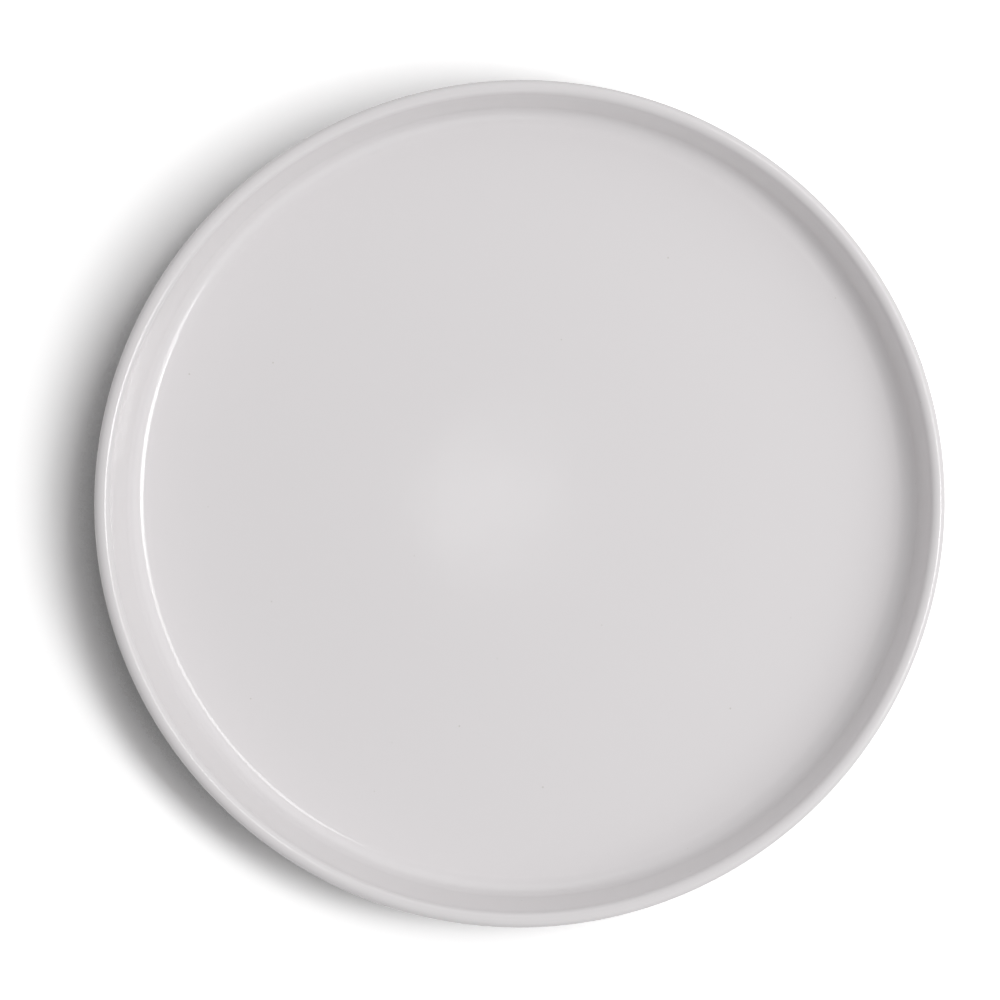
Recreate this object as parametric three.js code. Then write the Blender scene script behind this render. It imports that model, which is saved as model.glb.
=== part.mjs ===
// Dessert plate with an upright rim, in millimetres, +Z up.
// The origin is at the centre of the foot ring, on the surface that the plate stands on.
// A pressed clay body carries two coats of fired glaze: one over the face, the lip, the outside wall
// and the underside, and one in the recess under the base. The foot ring between them is wiped bare.
import * as THREE from "three";

// Driving dimensions of the glazed plate
const PLATE_DIAMETER = 210; // over the lip
const PLATE_HEIGHT = 22; // standing face to the top of the lip
const WALL_THICKNESS = 3.8; // rim wall with its glaze; the lip is a full round of this thickness
const WALL_FLARE = THREE.MathUtils.degToRad(15); // lean of the rim wall, outwards from upright
const WELL_FILLET = 5.2; // inside corner between the floor and the rim wall
const HEEL_RADIUS = 9; // outside corner between the rim wall and the underside
const FLOOR_THICKNESS = 4.4; // floor with the glaze on both of its faces
const GLAZE_THICKNESS = 0.4; // each coat

// Driving dimensions of the foot ring, which is bare clay where the plate stands on it
const FOOT_DIAMETER = 150; // outside of the clay ring
const FOOT_WIDTH = 4.6; // across the clay ring
const FOOT_HEIGHT = 2.4; // standing face to the glazed underside
const FOOT_FILLET = 0.7; // glazed corner between the ring's sides and the underside
const FOOT_EDGE = 0.5; // round on both edges of the standing face
const BARE_BAND = 1; // height of the ring's sides that is wiped free of glaze

// Fineness of the faceted surfaces
const TURN_STEPS = 64; // around the plate's axis
const LIP_STEPS = 12; // over the lip's half round
const CORNER_STEPS = 5; // along the well's fillet and the heel
const FOOT_STEPS = 2; // along the foot ring's small rounds

const QUARTER_TURN = Math.PI / 2;

// Places on the section through the plate's axis: x is the radius and y is the height
const floorTop = FOOT_HEIGHT + FLOOR_THICKNESS;
const lipRadius = WALL_THICKNESS / 2;
const lipCentre = new THREE.Vector2(PLATE_DIAMETER / 2 - lipRadius, PLATE_HEIGHT - lipRadius);
const filletCentre = insideWall(floorTop + WELL_FILLET, lipRadius + WELL_FILLET);
const heelCentre = insideWall(FOOT_HEIGHT + HEEL_RADIUS, HEEL_RADIUS - lipRadius);
const footOuter = FOOT_DIAMETER / 2;
const footInner = footOuter - FOOT_WIDTH;

// The point at a height that lies a distance in from the middle plane of the leaning rim wall
function insideWall(height, distance) {
  const middle = lipCentre.x - (lipCentre.y - height) * Math.tan(WALL_FLARE);
  return new THREE.Vector2(middle - distance / Math.cos(WALL_FLARE), height);
}

// Points along an arc of the section, counted in equal turns from one angle to another
function arc(centre, radius, from, to, steps) {
  return new THREE.EllipseCurve(centre.x, centre.y, radius, radius, from, to, to < from).getPoints(steps);
}

// The face's outline at a depth under the glaze: from the middle of the floor, up the rim wall, over the lip,
// down the outside, round the heel and in along the underside to the end of the glaze on the foot ring
function faceOutline(depth) {
  const footSide = footOuter + GLAZE_THICKNESS - depth;
  const footCorner = new THREE.Vector2(footOuter + GLAZE_THICKNESS + FOOT_FILLET, FOOT_HEIGHT - FOOT_FILLET);
  return [
    new THREE.Vector2(0, floorTop - depth),
    ...arc(filletCentre, WELL_FILLET + depth, -QUARTER_TURN, -WALL_FLARE, CORNER_STEPS),
    ...arc(lipCentre, lipRadius - depth, Math.PI - WALL_FLARE, -WALL_FLARE, LIP_STEPS),
    ...arc(heelCentre, HEEL_RADIUS - depth, -WALL_FLARE, -QUARTER_TURN, CORNER_STEPS),
    ...arc(footCorner, FOOT_FILLET + depth, QUARTER_TURN, Math.PI, FOOT_STEPS),
    new THREE.Vector2(footSide, BARE_BAND),
  ];
}

// The base's outline at a depth under the glaze: from the middle of the base out into the corner of the recess
// and down to the end of the glaze inside the foot ring
function baseOutline(depth) {
  const footSide = footInner - GLAZE_THICKNESS + depth;
  const footCorner = new THREE.Vector2(footInner - GLAZE_THICKNESS - FOOT_FILLET, FOOT_HEIGHT - FOOT_FILLET);
  return [
    new THREE.Vector2(0, FOOT_HEIGHT + depth),
    ...arc(footCorner, FOOT_FILLET + depth, QUARTER_TURN, 0, FOOT_STEPS),
    new THREE.Vector2(footSide, BARE_BAND),
  ];
}

// The bare foot ring's outline, from the face's glaze round the standing face to the base's glaze
function footOutline() {
  const outerEdge = new THREE.Vector2(footOuter - FOOT_EDGE, FOOT_EDGE);
  const innerEdge = new THREE.Vector2(footInner + FOOT_EDGE, FOOT_EDGE);
  return [
    ...arc(outerEdge, FOOT_EDGE, 0, -QUARTER_TURN, FOOT_STEPS),
    ...arc(innerEdge, FOOT_EDGE, -QUARTER_TURN, -Math.PI, FOOT_STEPS),
  ];
}

// A closed section between two outlines that are both drawn from the axis outwards
function between(upper, lower) {
  return [...upper, ...lower.reverse()];
}

// A named solid of revolution about Z, from a section drawn clockwise round its material
function turned(name, section, material) {
  const geometry = new THREE.LatheGeometry(section.reverse(), TURN_STEPS).rotateX(QUARTER_TURN);
  const mesh = new THREE.Mesh(geometry, material);
  mesh.name = name;
  return mesh;
}

const whiteGlaze = new THREE.MeshStandardMaterial({ color: 0xe6e3e4, roughness: 0.12, metalness: 0 });
const bareClay = new THREE.MeshStandardMaterial({ color: 0xd8cbb8, roughness: 0.85, metalness: 0 });

// The clay takes the same outlines as the undersides of its coats, so the pieces meet face to face
const clayFace = [...faceOutline(GLAZE_THICKNESS), ...footOutline()];
const claySection = between(clayFace, baseOutline(GLAZE_THICKNESS));
const faceSection = between(faceOutline(0), faceOutline(GLAZE_THICKNESS));
const baseSection = between(baseOutline(GLAZE_THICKNESS), baseOutline(0));

const plate = new THREE.Group();
plate.add(
  turned("clay_body", claySection, bareClay),
  turned("face_glaze", faceSection, whiteGlaze),
  turned("base_glaze", baseSection, whiteGlaze),
);

export default plate;
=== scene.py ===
import math

import bpy
from bpy.props import FloatProperty, FloatVectorProperty, IntProperty, PointerProperty
from bpy.types import Operator, Panel, PropertyGroup
from mathutils import Matrix, Vector, noise


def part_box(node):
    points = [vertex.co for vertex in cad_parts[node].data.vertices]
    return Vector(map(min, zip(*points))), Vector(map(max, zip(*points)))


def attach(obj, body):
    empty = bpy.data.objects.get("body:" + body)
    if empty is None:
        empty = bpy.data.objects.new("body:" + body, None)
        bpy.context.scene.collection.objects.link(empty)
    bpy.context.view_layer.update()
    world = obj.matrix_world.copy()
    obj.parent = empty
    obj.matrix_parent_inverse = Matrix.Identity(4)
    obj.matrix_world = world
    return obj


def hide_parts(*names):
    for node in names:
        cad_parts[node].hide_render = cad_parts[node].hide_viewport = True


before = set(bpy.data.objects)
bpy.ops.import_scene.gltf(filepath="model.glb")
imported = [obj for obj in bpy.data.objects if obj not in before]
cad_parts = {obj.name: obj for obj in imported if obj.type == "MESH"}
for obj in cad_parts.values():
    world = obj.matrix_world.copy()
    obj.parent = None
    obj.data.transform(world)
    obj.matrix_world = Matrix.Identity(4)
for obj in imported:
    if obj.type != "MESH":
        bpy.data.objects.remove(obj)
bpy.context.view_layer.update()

bl_info = {
    "name": "Dessert Plate",
    "version": (1, 0, 0),
    "blender": (4, 5, 0),
    "location": "3D View > Sidebar > Plate",
    "description": "Makes a white glazed dessert plate, its finishes and the set it stands on",
    "category": "Add Mesh",
}

# The frame's own measures, in metres
FACE_LOW, FACE_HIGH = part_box("face_glaze")
BASE_LOW, BASE_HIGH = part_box("base_glaze")
MM = 0.001
TINY = 1e-6
BODY = "root"
GLAZE_MATERIAL = "fired_white_glaze"
CLAY_MATERIAL = "fired_bare_clay"

# Thickness of each coat of glaze
GLAZE = 0.4 * MM

# Spans of the soft ripple in the glaze and of the wander in its wiped edge
RIPPLE_SPAN = 22 * MM
GLAZE_LINE_SPAN = 5 * MM

# The lip's waves: how many go round the plate, their share of the whole wave and where they start
LIP_WAVES = ((2, 1, -1.9), (5, 0.6, 0.4))

# Ranges of the materials: two values of a texture, and the two results that they give
GLOSS_ROUGHNESS = (0.3, 0.7, 0.065, 0.09)
DARK_GRAINS = (0.5, 0.72, 0, 0.6)
RUBBED_CLAY = (0.5, 0.8, 0, 0.5)
TURNED_LINES = (0.6, 1, 0, 0.3)
CLAY_ROUGHNESS = (0.3, 0.8, 0.9, 0.72)

# Fine detail of the glaze
GRAINS_WITHOUT_SPECK = 0.35  # share of the grains
SPECK_EDGE = (-0.1, 0.5)  # from where a speck shows to where it is full, in radii of the largest one
CLOUD_SIZE = 18 * MM
PEEL_SIZE = 3.5 * MM
PEEL_HEIGHT = 0.01 * MM
PEEL_STRENGTH = 0.6
GLAZE_INDEX = 1.5

# Fine detail of the clay
RUBBED_SIZE = 9 * MM
LINE_WANDER = 1.5
GRAIN_HEIGHT = 0.06 * MM
GRAIN_STRENGTH = 0.8

# A wave texture of scale 1 has this many radians of wave in each unit of length
WAVE_FACTOR = 20

# The photograph's frame: its width in pixels, and the plate's centre and lip radius in it
FRAME_PIXELS = 1000
PLATE_CENTRE_PIXEL = (519.75, 503.5)
LIP_RADIUS_PIXELS = 424.5


class PlateSizes(PropertyGroup):
    """Sizes of the glazed plate"""

    diameter: FloatProperty(
        name="Diameter", description="Width of the plate over its lip",
        default=FACE_HIGH.x - FACE_LOW.x, unit="LENGTH", precision=4,
    )
    height: FloatProperty(
        name="Height", description="Standing face to the top of the lip",
        default=FACE_HIGH.z, unit="LENGTH", precision=4,
    )
    wall: FloatProperty(
        name="Wall", description="Thickness of the rim wall with its glaze",
        default=3.8 * MM, unit="LENGTH", precision=4,
    )
    lip_inner: FloatProperty(
        name="Lip's inner round", description="Radius of the lip inside its crest",
        default=1.9 * MM, unit="LENGTH",
    )
    lip_outer: FloatProperty(
        name="Lip's outer round", description="Radius of the lip outside its crest",
        default=1.5 * MM, unit="LENGTH",
    )
    flare: FloatProperty(
        name="Flare", description="Lean of the rim wall, outwards from upright",
        default=math.radians(15), subtype="ANGLE",
    )
    fillet: FloatProperty(
        name="Well fillet", description="Radius of the inside corner between floor and wall",
        default=5.2 * MM, unit="LENGTH", precision=4,
    )
    heel: FloatProperty(
        name="Heel", description="Radius of the outside corner between wall and underside",
        default=9 * MM, unit="LENGTH", precision=4,
    )
    floor: FloatProperty(
        name="Floor", description="Thickness of the floor with the glaze on both faces",
        default=4.4 * MM, unit="LENGTH", precision=4,
    )
    glaze: FloatProperty(
        name="Glaze", description="Thickness of each coat of glaze",
        default=GLAZE, unit="LENGTH", precision=5,
    )
    foot_inner: FloatProperty(
        name="Foot inside", description="Radius of the inside of the clay foot ring",
        default=BASE_HIGH.x, unit="LENGTH", precision=4,
    )
    foot_width: FloatProperty(
        name="Foot width", description="Width of the clay foot ring",
        default=4.6 * MM, unit="LENGTH", precision=4,
    )
    foot_height: FloatProperty(
        name="Foot height", description="Standing face to the glazed underside",
        default=BASE_HIGH.z - GLAZE, unit="LENGTH", precision=4,
    )
    foot_fillet: FloatProperty(
        name="Foot fillet", description="Radius of the glazed corner beside the foot ring",
        default=0.7 * MM, unit="LENGTH", precision=5,
    )
    foot_edge: FloatProperty(
        name="Foot edge", description="Radius on the edges of the standing face",
        default=0.5 * MM, unit="LENGTH", precision=5,
    )
    bare_band: FloatProperty(
        name="Bare band", description="Height of the foot ring's sides that is wiped free of glaze",
        default=BASE_LOW.z, unit="LENGTH", precision=5,
    )


class KilnWarp(PropertyGroup):
    """How far the fired plate departs from a true round"""

    oval: FloatProperty(
        name="Oval", description="How far the lip is drawn out to an oval",
        default=0.28 * MM, unit="LENGTH", precision=5,
    )
    oval_turn: FloatProperty(
        name="Oval turn", description="Direction of the oval's long way",
        default=math.radians(23), subtype="ANGLE",
    )
    lobes: FloatProperty(
        name="Lobes", description="How far the lip is drawn out to three lobes",
        default=0.1 * MM, unit="LENGTH", precision=5,
    )
    lobes_turn: FloatProperty(
        name="Lobes turn", description="Direction of the first lobe",
        default=math.radians(47), subtype="ANGLE",
    )
    lean: FloatProperty(
        name="Lean", description="How far the rim leans over to one side",
        default=1.32 * MM, unit="LENGTH", precision=5,
    )
    lean_turn: FloatProperty(
        name="Lean turn", description="Direction in which the rim leans",
        default=math.radians(205), subtype="ANGLE",
    )
    lip_back: FloatProperty(
        name="Lip back", description="How far the top of the lip bends back against the lean",
        default=0.55 * MM, unit="LENGTH", precision=5,
    )
    roll: FloatProperty(
        name="Roll", description="How far the rim rolls inwards on the side that it leans to",
        default=0.9 * MM, unit="LENGTH", precision=5,
    )
    lip_wave: FloatProperty(
        name="Lip wave", description="How far the lip is out of level",
        default=0.12 * MM, unit="LENGTH", precision=5,
    )
    sag: FloatProperty(
        name="Sag", description="How far the middle of the floor sinks inside the foot ring",
        default=0.3 * MM, unit="LENGTH", precision=5,
    )
    ripple: FloatProperty(
        name="Ripple", description="Height of the soft ripple in the glazed surfaces",
        default=0.02 * MM, unit="LENGTH", precision=6,
    )
    glaze_line: FloatProperty(
        name="Glaze line", description="How far the wiped edge of the glaze wanders",
        default=0.15 * MM, unit="LENGTH", precision=5,
    )
    turn_steps: IntProperty(
        name="Steps around", description="Faces around the plate", default=288, min=64,
    )


class GlazeFinish(PropertyGroup):
    """Look of the white glaze"""

    white: FloatVectorProperty(
        name="White", description="Colour of the glaze", subtype="COLOR", size=3,
        default=(0.8, 0.78, 0.786), min=0, max=1,
    )
    thin: FloatVectorProperty(
        name="Thin", description="Colour of the glaze where it runs thin over the lip",
        default=(0.79, 0.769, 0.777), subtype="COLOR", size=3, min=0, max=1,
    )
    pooled: FloatVectorProperty(
        name="Pooled", description="Colour of the glaze where it pools in the corners",
        default=(0.799, 0.777, 0.786), subtype="COLOR", size=3, min=0, max=1,
    )
    speck: FloatVectorProperty(
        name="Speck", description="Colour of the specks in the glaze", subtype="COLOR", size=3,
        default=(0.65, 0.63, 0.61), min=0, max=1,
    )
    speck_spacing: FloatProperty(
        name="Speck spacing", description="Width of the grain of glaze that may hold one speck",
        default=5.2 * MM, unit="LENGTH", precision=4,
    )
    speck_radius: FloatProperty(
        name="Speck radius", description="Radius of the largest speck",
        default=0.3 * MM, unit="LENGTH", precision=5,
    )


class ClayFinish(PropertyGroup):
    """Look of the bare fired clay"""

    light: FloatVectorProperty(
        name="Light clay", description="Colour of the clay", subtype="COLOR", size=3,
        default=(0.7, 0.61, 0.49), min=0, max=1,
    )
    dark: FloatVectorProperty(
        name="Dark clay", description="Colour of the coarser grains and rubbed places",
        default=(0.5, 0.41, 0.31), subtype="COLOR", size=3, min=0, max=1,
    )
    grain: FloatProperty(
        name="Grain", description="Size of the clay's grain", default=0.45 * MM, unit="LENGTH", precision=5,
    )
    turning: FloatProperty(
        name="Turning lines", description="Spacing of the fine lines left by trimming the foot ring",
        default=0.55 * MM, unit="LENGTH", precision=5,
    )


class PlateStage(PropertyGroup):
    """The set: floor, lamps and camera"""

    camera_distance: FloatProperty(
        name="Camera distance", description="Camera to the widest part of the lip",
        default=1.4, unit="LENGTH",
    )
    key_near: FloatVectorProperty(
        name="Strip lamp's near end", description="Place of the strip lamp's end behind the plate",
        default=(0.18, 0.32, 1.0), subtype="TRANSLATION", size=3, unit="LENGTH",
    )
    key_far: FloatVectorProperty(
        name="Strip lamp's far end", description="Place of the strip lamp's end to the right in front",
        default=(1.27, -0.75, 1.0), subtype="TRANSLATION", size=3, unit="LENGTH",
    )
    key_width: FloatProperty(
        name="Strip lamp width", description="Width of the strip lamp", default=0.26, unit="LENGTH",
    )
    key_glow: FloatVectorProperty(
        name="Strip lamp glow",
        description="Brightness of four stretches of the strip lamp, from its near end",
        default=(4.4, 8.5, 3.2, 2.4), size=4, min=0,
    )
    side_turns: FloatVectorProperty(
        name="Side lamp turns", description="Ways from the plate to the broad side lamps, from +X",
        default=[math.radians(turn) for turn in (0, 70, 135, 300)], subtype="EULER", size=4,
    )
    side_glow: FloatVectorProperty(
        name="Side lamp glow", description="Brightness of each side lamp",
        default=(0.4, 0.62, 0.2, 0.5), size=4, min=0,
    )
    side_tilt: FloatProperty(
        name="Side lamp tilt", description="Angle between the side lamps and the plate's axis",
        default=math.radians(53), subtype="ANGLE",
    )
    side_distance: FloatProperty(
        name="Side lamp distance", description="Side lamps to the plate", default=1.3, unit="LENGTH",
    )
    side_size: FloatVectorProperty(
        name="Side lamp size", description="Length and height of each side lamp",
        default=(1.3, 0.9), size=2, unit="LENGTH",
    )
    axis_width: FloatProperty(
        name="Camera lamp width", description="Width of the small lamp above the camera",
        default=0.05, unit="LENGTH",
    )
    axis_glow: FloatProperty(
        name="Camera lamp glow", description="Brightness of the small lamp above the camera",
        default=1.5, min=0,
    )
    axis_rise: FloatProperty(
        name="Camera lamp rise", description="Camera to the small lamp above it", default=0.05, unit="LENGTH",
    )
    ambient: FloatVectorProperty(
        name="Ambient", description="Light from all round",
        default=(0.318, 0.315, 0.315), subtype="COLOR", size=3, min=0,
    )
    floor_grey: FloatProperty(
        name="Floor grey", description="How much light the floor gives back to the plate",
        default=0.6, min=0, max=1,
    )
    floor_white: FloatProperty(
        name="Floor white", description="How bright the floor looks to the camera", default=1.5, min=0,
    )
    # Way towards the strip lamp: the white floor's shading leans to it, and the floor's painted shadow is
    # cast from this side
    floor_light_side: FloatVectorProperty(
        name="Floor nap",
        description="Way that the floor's nap leans, towards the light that it takes up most",
        default=(0.63, 0.11, 0.77), subtype="DIRECTION", size=3,
    )
    # The next three set the floor's painted shadow: how much of the white is left where it is darkest, the
    # open shares of the lamp's side where it is deepest and where it ends, and how far from the plate it
    # still reaches
    painted_shadow_share: FloatProperty(
        name="Nap shade",
        description="Share of the floor's white that stays where the plate closes off the nap",
        default=0.46, min=0, max=1,
    )
    painted_shadow_open: FloatVectorProperty(
        name="Nap open",
        description="Open share of the nap's side where its shade is deepest and where it ends",
        default=(0.45, 0.53), size=2, min=0, max=1,
    )
    painted_shadow_reach: FloatProperty(
        name="Nap reach", description="How far off the plate still closes off the nap",
        default=0.1, unit="LENGTH",
    )
    floor_width: FloatProperty(
        name="Floor width", description="Width of the floor", default=12.0, unit="LENGTH",
    )


class PlateSection:
    """The plate's section: places are (radius, height) pairs"""

    FLOOR_STEPS = 40
    FILLET_STEPS = 16
    WALL_STEPS = 10
    LIP_STEPS = 16
    HEEL_STEPS = 18
    UNDERSIDE_STEPS = 8
    FOOT_STEPS = 6

    def __init__(self, sizes):
        self.sizes = sizes
        self.floor_top = sizes.foot_height + sizes.floor
        self.half_wall = sizes.wall / 2
        self.wall_top = Vector((sizes.diameter / 2 - self.half_wall, sizes.height - self.half_wall))
        self.fillet = self.inside_wall(self.floor_top + sizes.fillet, self.half_wall + sizes.fillet)
        self.heel = self.inside_wall(sizes.foot_height + sizes.heel, sizes.heel - self.half_wall)
        crest = Vector((sizes.diameter / 2 - sizes.lip_outer, sizes.height))
        self.lip_inside = crest - Vector((0, sizes.lip_inner))
        self.lip_outside = crest - Vector((0, sizes.lip_outer))
        self.inside_lean = wall_lean(self.fillet, self.lip_inside, sizes.fillet + sizes.lip_inner)
        self.outside_lean = wall_lean(self.heel, self.lip_outside, sizes.heel - sizes.lip_outer)
        self.foot_inner = sizes.foot_inner
        self.foot_outer = sizes.foot_inner + sizes.foot_width

    def rise(self, height):
        """How far up the rim a height lies: 0 at the floor and 1 at the top of the lip"""
        return max(0.0, height - self.floor_top) / (self.sizes.height - self.floor_top)

    def lip_share(self, height):
        """How far up the lip a height lies: 0 a wall's thickness under its top and 1 at its top"""
        return max(0.0, 1 - (self.sizes.height - height) / self.sizes.wall)

    def inside_wall(self, height, distance):
        """The point at a height that lies a distance in from the middle of the leaning wall"""
        middle = self.wall_top.x - (self.wall_top.y - height) * math.tan(self.sizes.flare)
        return Vector((middle - distance / math.cos(self.sizes.flare), height))

    def face(self, depth):
        """From the middle of the floor over the lip to the foot ring, at a depth under the glaze's surface"""
        sizes = self.sizes
        side = self.foot_outer + sizes.glaze
        corner = Vector((side + sizes.foot_fillet, sizes.foot_height - sizes.foot_fillet))
        fillet = arc(self.fillet, sizes.fillet + depth, -90, -self.inside_lean, self.FILLET_STEPS)
        lip = joined(
            arc(self.lip_inside, sizes.lip_inner - depth, 180 - self.inside_lean, 90, self.LIP_STEPS),
            arc(self.lip_outside, sizes.lip_outer - depth, 90, -self.outside_lean, self.LIP_STEPS),
        )
        heel = arc(self.heel, sizes.heel - depth, -self.outside_lean, -90, self.HEEL_STEPS)
        foot = arc(corner, sizes.foot_fillet + depth, 90, 180, self.FOOT_STEPS)
        return joined(
            straight(Vector((0, self.floor_top - depth)), fillet[0], self.FLOOR_STEPS), fillet,
            straight(fillet[-1], lip[0], self.WALL_STEPS), lip,
            straight(lip[-1], heel[0], self.WALL_STEPS), heel,
            straight(heel[-1], foot[0], self.UNDERSIDE_STEPS), foot,
        )

    def face_end(self):
        """The rounded end of the face's glaze on the foot ring's outside"""
        centre = Vector((self.foot_outer, self.sizes.bare_band + self.sizes.glaze))
        return arc(centre, self.sizes.glaze, 0, -90, self.FOOT_STEPS)

    def base(self, depth):
        """From the middle of the base to the foot ring, at a depth under the glaze's surface"""
        sizes = self.sizes
        side = self.foot_inner - sizes.glaze
        corner = Vector((side - sizes.foot_fillet, sizes.foot_height - sizes.foot_fillet))
        foot = arc(corner, sizes.foot_fillet + depth, 90, 0, self.FOOT_STEPS)
        return joined(straight(Vector((0, sizes.foot_height + depth)), foot[0], self.FLOOR_STEPS), foot)

    def base_end(self):
        """The rounded end of the base's glaze on the foot ring's inside"""
        centre = Vector((self.foot_inner, self.sizes.bare_band + self.sizes.glaze))
        return arc(centre, self.sizes.glaze, 180, 270, self.FOOT_STEPS)

    def foot(self):
        """The bare foot ring, from its outside round the standing face to its inside"""
        edge = self.sizes.foot_edge
        outer = arc(Vector((self.foot_outer - edge, edge)), edge, 0, -90, self.FOOT_STEPS)
        inner = arc(Vector((self.foot_inner + edge, edge)), edge, -90, -180, self.FOOT_STEPS)
        return joined(outer, straight(outer[-1], inner[0], self.FOOT_STEPS), inner)


def wall_lean(low, high, reach):
    """Lean in degrees of the straight wall that runs on smoothly from a low round into a high one"""
    way = high - low
    return math.degrees(math.acos(reach / way.length) - math.atan2(way.y, way.x))


def arc(centre, radius, start, end, steps):
    """Points along an arc between two angles in degrees"""
    angles = [math.radians(start + (end - start) * i / steps) for i in range(steps + 1)]
    return [centre + radius * Vector((math.cos(a), math.sin(a))) for a in angles]


def straight(start, end, steps):
    """Points along a straight line, both ends included"""
    return [start.lerp(end, i / steps) for i in range(steps + 1)]


def joined(*runs):
    """Runs of points joined into one, without the points that two runs share"""
    points = list(runs[0])
    for run in runs[1:]:
        points += run[1:] if (run[0] - points[-1]).length < TINY else run
    return points


def rim_lean(height, section, warp):
    """How far the rim is moved to one side: the wall leans over and the lip bends back a little"""
    aside = warp.lean * section.rise(height) - warp.lip_back * section.lip_share(height) ** 2
    return aside * Vector((math.cos(warp.lean_turn), math.sin(warp.lean_turn), 0))


def rim_roll(point, angle, section, warp):
    """How far a point of the rim is rolled inwards: most on its inside, on the side that it leans to"""
    inwards = (section.sizes.diameter / 2 - point.x) / section.sizes.wall
    side = (1 + math.cos(angle - warp.lean_turn)) / 2
    return warp.roll * inwards * side * section.rise(point.y) ** 2


def fired_place(point, angle, section, warp):
    """Where a point of the section lies after firing: a little out of round, out of level and sagged"""
    sizes = section.sizes
    radius, height = point
    rise = section.rise(height)
    radius += warp.oval * rise * math.cos(2 * (angle - warp.oval_turn))
    radius += warp.lobes * rise * math.cos(3 * (angle - warp.lobes_turn))
    radius -= rim_roll(point, angle, section, warp)
    waves = sum(share * math.cos(count * angle + start) for count, share, start in LIP_WAVES)
    lift = warp.lip_wave * rise * waves
    inside = max(0.0, 1 - (point.x / section.foot_inner) ** 2)
    lift -= warp.sag * inside ** 2
    place = Vector((radius * math.cos(angle), radius * math.sin(angle), height + lift))
    place += rim_lean(height, section, warp)
    if height > sizes.bare_band + sizes.glaze + TINY:
        place.z += warp.ripple * noise.noise(place / RIPPLE_SPAN)
    elif height > sizes.bare_band - TINY:
        place.z += warp.glaze_line * noise.noise(place / GLAZE_LINE_SPAN)
    return place


def turned_piece(name, outline, section, warp, material):
    """A closed piece turned from an outline that starts and ends on the axis"""
    steps = warp.turn_steps
    angles = [2 * math.pi * i / steps for i in range(steps)]
    verts = [fired_place(outline[0], 0, section, warp)]
    faces = []
    rings = []
    for point in outline[1:-1]:
        rings.append(len(verts))
        verts += [fired_place(point, angle, section, warp) for angle in angles]
    last = len(verts)
    verts.append(fired_place(outline[-1], 0, section, warp))
    for i in range(steps):
        after = (i + 1) % steps
        faces.append((0, rings[0] + i, rings[0] + after))
        for inner, outer in zip(rings, rings[1:]):
            faces.append((inner + i, outer + i, outer + after, inner + after))
        faces.append((rings[-1] + i, last, rings[-1] + after))
    mesh = bpy.data.meshes.new(name)
    mesh.from_pydata(verts, [], faces)
    mesh.shade_smooth()
    mesh.materials.append(material)
    piece = bpy.data.objects.new(name, mesh)
    bpy.context.scene.collection.objects.link(piece)
    return piece


def new_material(name):
    """An empty node material with its shader and its object coordinates"""
    material = bpy.data.materials.new(name)
    material.use_nodes = True
    nodes = material.node_tree.nodes
    shader = nodes["Principled BSDF"]
    place = nodes.new("ShaderNodeTexCoord")
    return material, nodes, material.node_tree.links, shader, place.outputs["Object"]


def add_noise(nodes, links, place, size, detail, name):
    """A noise texture whose features have about the given size"""
    texture = nodes.new("ShaderNodeTexNoise")
    texture.label = name
    texture.inputs["Scale"].default_value = 1 / size
    texture.inputs["Detail"].default_value = detail
    links.new(place, texture.inputs["Vector"])
    return texture.outputs["Fac"]


def add_range(nodes, links, value, low, high, to_low, to_high, name, smooth=True):
    """A value mapped from one range to another, held at both ends"""
    node = nodes.new("ShaderNodeMapRange")
    node.label = name
    node.interpolation_type = "SMOOTHSTEP" if smooth else "LINEAR"
    for socket, number in zip(node.inputs[1:5], (low, high, to_low, to_high)):
        socket.default_value = number
    links.new(value, node.inputs["Value"])
    return node.outputs["Result"]


def add_mix(nodes, links, share, first, second, name):
    """A colour between two colours; each one is a colour or a socket"""
    node = nodes.new("ShaderNodeMix")
    node.label = name
    node.data_type = "RGBA"
    links.new(share, node.inputs["Factor"])
    sockets = {socket.identifier: socket for socket in node.inputs}
    for socket, colour in ((sockets["A_Color"], first), (sockets["B_Color"], second)):
        if isinstance(colour, bpy.types.NodeSocket):
            links.new(colour, socket)
        else:
            socket.default_value = (*colour, 1)
    return next(socket for socket in node.outputs if socket.identifier == "Result_Color")


def add_math(nodes, links, operation, first, second, name):
    """One sum of two values; each one is a number or a socket"""
    node = nodes.new("ShaderNodeMath")
    node.label = name
    node.operation = operation
    for socket, value in zip(node.inputs, (first, second)):
        if isinstance(value, bpy.types.NodeSocket):
            links.new(value, socket)
        else:
            socket.default_value = value
    return node.outputs["Value"]


def add_bump(nodes, links, shader, relief, height, strength):
    """A relief in the shader's surface, of a height where its value goes from 0 to 1"""
    bump = nodes.new("ShaderNodeBump")
    bump.inputs["Strength"].default_value = strength
    bump.inputs["Distance"].default_value = height
    links.new(relief, bump.inputs["Height"])
    links.new(bump.outputs["Normal"], shader.inputs["Normal"])


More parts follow.
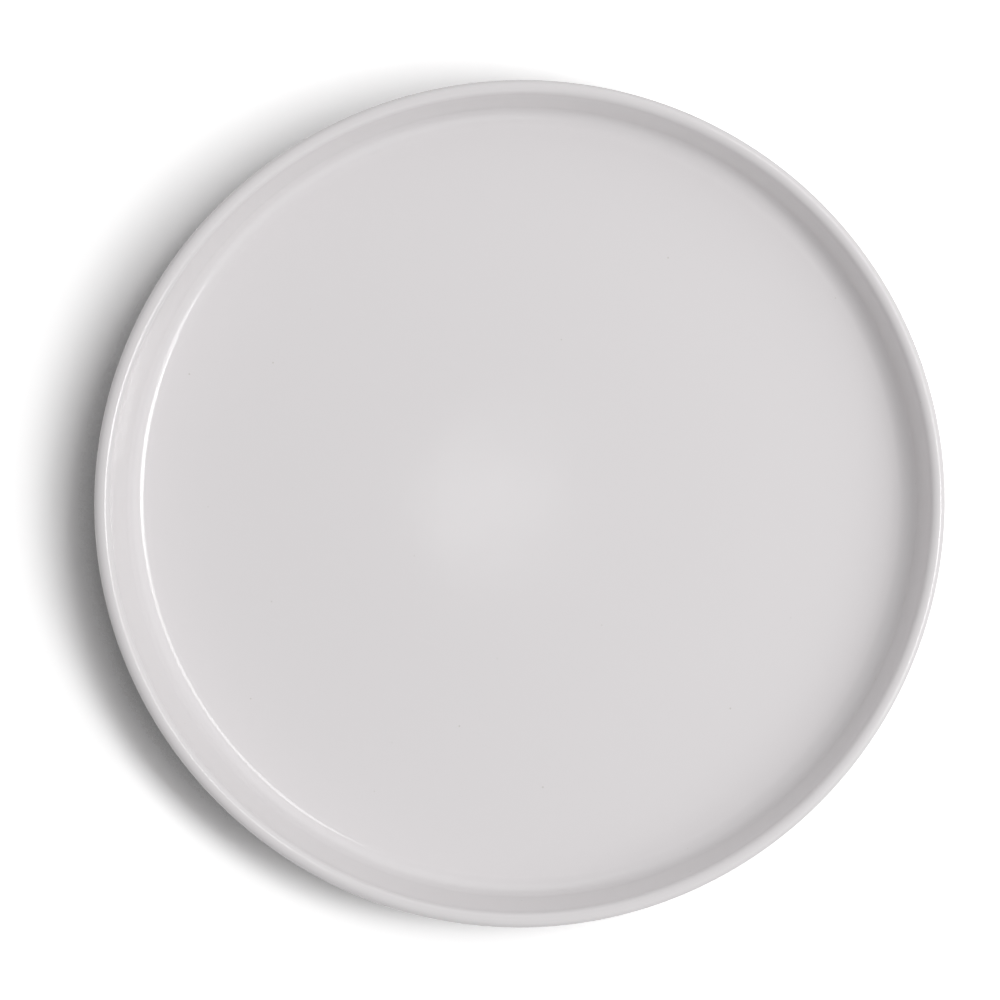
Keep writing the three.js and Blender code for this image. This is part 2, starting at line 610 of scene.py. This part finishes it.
def white_glaze(finish, section):
    """Opaque white glaze: thin over the lip, pooled in the corners, with specks and a faint orange peel"""
    material, nodes, links, shader, place = new_material(GLAZE_MATERIAL)
    parts = nodes.new("ShaderNodeSeparateXYZ")
    links.new(place, parts.inputs[0])
    height = parts.outputs["Z"]
    plate_height = section.sizes.height
    lip_start = plate_height - section.sizes.wall
    thin = add_range(nodes, links, height, lip_start, plate_height, 0, 1, "glaze thins over the lip")
    floor = section.floor_top
    pool = add_range(nodes, links, height, floor, floor + section.sizes.fillet, 0, 1, "above the floor")
    body = add_mix(nodes, links, pool, finish.pooled, finish.white, "pooled in the corner")
    coat = add_mix(nodes, links, thin, body, finish.thin, "thin over the lip")

    cell = nodes.new("ShaderNodeTexVoronoi")
    cell.label = "where a speck may be"
    cell.inputs["Scale"].default_value = 1 / finish.speck_spacing
    links.new(place, cell.inputs["Vector"])
    chance = nodes.new("ShaderNodeSeparateColor")
    links.new(cell.outputs["Color"], chance.inputs[0])
    largest = finish.speck_radius / finish.speck_spacing
    reach = add_range(
        nodes, links, chance.outputs["Red"], GRAINS_WITHOUT_SPECK, 1, 0, largest, "speck size", smooth=False,
    )
    nearness = add_math(nodes, links, "SUBTRACT", reach, cell.outputs["Distance"], "inside the speck")
    edge = [share * largest for share in SPECK_EDGE]
    speck = add_range(nodes, links, nearness, *edge, 0, 1, "speck with a soft edge")
    colour = add_mix(nodes, links, speck, coat, finish.speck, "specks")
    links.new(colour, shader.inputs["Base Color"])

    cloud = add_noise(nodes, links, place, CLOUD_SIZE, 2, "cloudy gloss")
    gloss = add_range(nodes, links, cloud, *GLOSS_ROUGHNESS, "roughness of the gloss")
    links.new(gloss, shader.inputs["Roughness"])
    peel = add_noise(nodes, links, place, PEEL_SIZE, 1, "orange peel")
    pit = add_math(nodes, links, "SUBTRACT", peel, speck, "peel with pinholes")
    add_bump(nodes, links, shader, pit, PEEL_HEIGHT, PEEL_STRENGTH)
    shader.inputs["IOR"].default_value = GLAZE_INDEX
    return material


def bare_clay(finish):
    """Fired clay with a fine grain, turning lines and darker rubbed places"""
    material, nodes, links, shader, place = new_material(CLAY_MATERIAL)
    grain = add_noise(nodes, links, place, finish.grain, 4, "clay grain")
    cloud = add_noise(nodes, links, place, RUBBED_SIZE, 3, "rubbed places")
    rings = nodes.new("ShaderNodeTexWave")
    rings.label = "turning lines"
    rings.wave_type = "RINGS"
    rings.rings_direction = "Z"
    rings.inputs["Scale"].default_value = 2 * math.pi / (WAVE_FACTOR * finish.turning)
    rings.inputs["Distortion"].default_value = LINE_WANDER
    links.new(place, rings.inputs["Vector"])
    dark_grain = add_range(nodes, links, grain, *DARK_GRAINS, "darker grains")
    rubbed = add_range(nodes, links, cloud, *RUBBED_CLAY, "share of rubbed clay")
    lined = add_range(nodes, links, rings.outputs["Fac"], *TURNED_LINES, "darker turning lines")
    patches = add_math(nodes, links, "MAXIMUM", dark_grain, rubbed, "darker grains and places")
    share = add_math(nodes, links, "MAXIMUM", patches, lined, "darker clay")
    colour = add_mix(nodes, links, share, finish.light, finish.dark, "clay colour")
    links.new(colour, shader.inputs["Base Color"])
    rough = add_range(nodes, links, cloud, *CLAY_ROUGHNESS, "roughness of the clay")
    links.new(rough, shader.inputs["Roughness"])
    relief = add_math(nodes, links, "SUBTRACT", grain, lined, "grain with turning lines")
    add_bump(nodes, links, shader, relief, GRAIN_HEIGHT, GRAIN_STRENGTH)
    return material


def stage_floor(stage):
    """A wide floor whose own colour looks white, with a painted shadow: the colour goes darker where the
    plate closes off the side towards the strip lamp
    """
    half = stage.floor_width / 2
    mesh = bpy.data.meshes.new("floor")
    corners = [(-half, -half, 0), (half, -half, 0), (half, half, 0), (-half, half, 0)]
    mesh.from_pydata(corners, [], [(0, 1, 2, 3)])
    material = bpy.data.materials.new("pale_floor")
    material.use_nodes = True
    nodes = material.node_tree.nodes
    links = material.node_tree.links
    nodes.remove(nodes["Principled BSDF"])
    grey = nodes.new("ShaderNodeBsdfDiffuse")
    grey.inputs["Color"].default_value = (*[stage.floor_grey] * 3, 1)
    white = nodes.new("ShaderNodeBsdfDiffuse")
    light_side = nodes.new("ShaderNodeNormal")
    light_side.outputs["Normal"].default_value = Vector(stage.floor_light_side).normalized()
    links.new(light_side.outputs["Normal"], white.inputs["Normal"])
    # Painted shadow: ambient occlusion about the lean towards the strip lamp darkens the floor's white beside
    # the plate
    cover = nodes.new("ShaderNodeAmbientOcclusion")
    cover.inputs["Distance"].default_value = stage.painted_shadow_reach
    links.new(light_side.outputs["Normal"], cover.inputs["Normal"])
    pale = stage.floor_white
    deep = pale * stage.painted_shadow_share
    shade = add_range(nodes, links, cover.outputs["AO"], *stage.painted_shadow_open, deep, pale, "shaded nap")
    links.new(shade, white.inputs["Color"])
    mix = nodes.new("ShaderNodeMixShader")
    links.new(seen_rays(nodes, links), mix.inputs["Fac"])
    links.new(grey.outputs[0], mix.inputs[1])
    links.new(white.outputs[0], mix.inputs[2])
    links.new(mix.outputs[0], nodes["Material Output"].inputs["Surface"])
    mesh.materials.append(material)
    floor = bpy.data.objects.new("floor", mesh)
    bpy.context.scene.collection.objects.link(floor)


def seen_rays(nodes, links):
    """1 for rays that the camera, a gloss or a clear surface sends, and 0 for the rest"""
    path = nodes.new("ShaderNodeLightPath")
    rays = path.outputs
    seen = add_math(nodes, links, "MAXIMUM", rays["Is Camera Ray"], rays["Is Glossy Ray"], "seen")
    return add_math(nodes, links, "MAXIMUM", seen, rays["Is Transmission Ray"], "seen through")


def stage_world(stage):
    """Even light from all round, which looks white where it is seen"""
    world = bpy.data.worlds.new("studio")
    world.use_nodes = True
    nodes = world.node_tree.nodes
    links = world.node_tree.links
    light = nodes["Background"]
    light.inputs["Color"].default_value = (*stage.ambient, 1)
    white = nodes.new("ShaderNodeBackground")
    white.inputs["Color"].default_value = (1, 1, 1, 1)
    mix = nodes.new("ShaderNodeMixShader")
    links.new(seen_rays(nodes, links), mix.inputs["Fac"])
    links.new(light.outputs[0], mix.inputs[1])
    links.new(white.outputs[0], mix.inputs[2])
    links.new(mix.outputs[0], nodes["World Output"].inputs["Surface"])
    bpy.context.scene.world = world


def stage_lamp(name, shape, place, along, target, length, width, glow):
    """An area lamp at a place that faces a target, with its long side along a direction"""
    lamp = bpy.data.lights.new(name, "AREA")
    lamp.shape = shape
    lamp.size = length
    lamp.size_y = width
    area = length * width * (math.pi / 4 if shape == "DISK" else 1)
    lamp.energy = glow * math.pi * area
    back = (place - target).normalized()
    side = (along - along.dot(back) * back).normalized()
    turn = Matrix((side, back.cross(side), back)).transposed()
    holder = bpy.data.objects.new(name, lamp)
    holder.matrix_world = Matrix.Translation(place) @ turn.to_4x4()
    bpy.context.scene.collection.objects.link(holder)


def strip_lamps(stage, plate):
    """The long strip lamp, in stretches of their own brightness"""
    near = Vector(stage.key_near)
    far = Vector(stage.key_far)
    along = far - near
    parts = len(stage.key_glow)
    length = along.length / parts
    for i, glow in enumerate(stage.key_glow):
        middle = near.lerp(far, (i + 0.5) / parts)
        stage_lamp(f"strip_lamp_{i}", "RECTANGLE", middle, along, plate, length, stage.key_width, glow)


def side_lamps(stage, plate):
    """The broad lamps round the plate"""
    across = stage.side_distance * math.sin(stage.side_tilt)
    up = stage.side_distance * math.cos(stage.side_tilt)
    for i, (turn, glow) in enumerate(zip(stage.side_turns, stage.side_glow)):
        outward = Vector((math.cos(turn), math.sin(turn), 0))
        along = Vector((-outward.y, outward.x, 0))
        place = plate + across * outward + Vector((0, 0, up))
        stage_lamp(f"side_lamp_{i}", "RECTANGLE", place, along, plate, *stage.side_size, glow)


def camera_lamp(stage, camera):
    """The small round lamp above the camera, which lies as a soft glow in the middle of the plate"""
    above = camera.location + Vector((0, 0, stage.axis_rise))
    under = Vector((above.x, above.y, 0))
    width = stage.axis_width
    stage_lamp("camera_lamp", "DISK", above, Vector((1, 0, 0)), under, width, width, stage.axis_glow)


def stage_camera(stage, section, warp):
    """A camera straight above, framed so that the lip lies where the photograph has it"""
    metres_per_pixel = section.sizes.diameter / 2 / LIP_RADIUS_PIXELS
    middle = FRAME_PIXELS / 2
    right = (middle - PLATE_CENTRE_PIXEL[0]) * metres_per_pixel
    up = (PLATE_CENTRE_PIXEL[1] - middle) * metres_per_pixel
    camera = bpy.data.cameras.new("camera")
    camera.lens = camera.sensor_width * stage.camera_distance / (FRAME_PIXELS * metres_per_pixel)
    holder = bpy.data.objects.new("camera", camera)
    lip_middle = rim_lean(section.lip_outside.y, section, warp)
    holder.location = lip_middle + Vector((right, up, section.wall_top.y + stage.camera_distance))
    bpy.context.scene.collection.objects.link(holder)
    bpy.context.scene.camera = holder
    return holder


def set_up(piece, node):
    """Tie a finished piece to the frame"""
    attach(piece, BODY)
    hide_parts(node)


def shared_material(name, make, *values):
    """The named material, made on first use"""
    return bpy.data.materials.get(name) or make(*values)


class MakeStage(Operator):
    """Set up the floor, the lamps, the light from all round and the camera"""

    bl_idname = "dessert_plate.stage"
    bl_label = "Stage"

    def execute(self, context):
        scene = context.scene
        stage = scene.plate_stage
        section = PlateSection(scene.plate_sizes)
        scene.view_settings.view_transform = "Standard"
        stage_floor(stage)
        stage_world(stage)
        camera = stage_camera(stage, section, scene.kiln_warp)
        plate = Vector((0, 0, section.floor_top))
        strip_lamps(stage, plate)
        side_lamps(stage, plate)
        camera_lamp(stage, camera)
        return {"FINISHED"}


class MakeClayBody(Operator):
    """Turn the clay body, which shows on the foot ring"""

    bl_idname = "dessert_plate.clay_body"
    bl_label = "Clay body"

    def execute(self, context):
        scene = context.scene
        section = PlateSection(scene.plate_sizes)
        depth = section.sizes.glaze
        outline = section.face(depth) + section.foot() + section.base(depth)[::-1]
        material = shared_material(CLAY_MATERIAL, bare_clay, scene.clay_finish)
        piece = turned_piece("plate_clay", outline, section, scene.kiln_warp, material)
        set_up(piece, "clay_body")
        return {"FINISHED"}


class MakeFaceGlaze(Operator):
    """Turn the coat of glaze over the face, the lip, the outside wall and the underside"""

    bl_idname = "dessert_plate.face_glaze"
    bl_label = "Face glaze"

    def execute(self, context):
        scene = context.scene
        section = PlateSection(scene.plate_sizes)
        outline = section.face(0) + section.face_end() + section.face(section.sizes.glaze)[::-1]
        material = shared_material(GLAZE_MATERIAL, white_glaze, scene.glaze_finish, section)
        piece = turned_piece("plate_face_glaze", outline, section, scene.kiln_warp, material)
        set_up(piece, "face_glaze")
        return {"FINISHED"}


class MakeBaseGlaze(Operator):
    """Turn the coat of glaze in the recess under the base"""

    bl_idname = "dessert_plate.base_glaze"
    bl_label = "Base glaze"

    def execute(self, context):
        scene = context.scene
        section = PlateSection(scene.plate_sizes)
        upper = section.base(section.sizes.glaze)
        outline = upper + (section.base(0) + section.base_end())[::-1]
        material = shared_material(GLAZE_MATERIAL, white_glaze, scene.glaze_finish, section)
        piece = turned_piece("plate_base_glaze", outline, section, scene.kiln_warp, material)
        set_up(piece, "base_glaze")
        return {"FINISHED"}


class PlatePanel(Panel):
    """The plate's sizes, finishes and steps"""

    bl_idname = "VIEW3D_PT_dessert_plate"
    bl_label = "Dessert Plate"
    bl_space_type = "VIEW_3D"
    bl_region_type = "UI"
    bl_category = "Plate"

    def draw(self, context):
        scene = context.scene
        for group_name in GROUPS:
            box = self.layout.box()
            group = getattr(scene, group_name)
            for name in group.bl_rna.properties.keys():
                if name not in {"rna_type", "name"}:
                    box.prop(group, name)
        for step in STEPS:
            self.layout.operator(step.bl_idname)


GROUPS = {
    "plate_sizes": PlateSizes,
    "kiln_warp": KilnWarp,
    "glaze_finish": GlazeFinish,
    "clay_finish": ClayFinish,
    "plate_stage": PlateStage,
}
STEPS = (MakeStage, MakeClayBody, MakeFaceGlaze, MakeBaseGlaze)
CLASSES = (*GROUPS.values(), *STEPS, PlatePanel)


def register():
    """Register the classes and the scene's groups of values"""
    for made in CLASSES:
        bpy.utils.register_class(made)
    for name, group in GROUPS.items():
        setattr(bpy.types.Scene, name, PointerProperty(type=group))


def unregister():
    """Take the groups of values and the classes out again"""
    for name in GROUPS:
        delattr(bpy.types.Scene, name)
    for made in reversed(CLASSES):
        bpy.utils.unregister_class(made)


def main():
    """Make the set and the three pieces"""
    register()
    bpy.ops.dessert_plate.stage()
    bpy.ops.dessert_plate.clay_body()
    bpy.ops.dessert_plate.face_glaze()
    bpy.ops.dessert_plate.base_glaze()


if __name__ == "__main__":
    main()
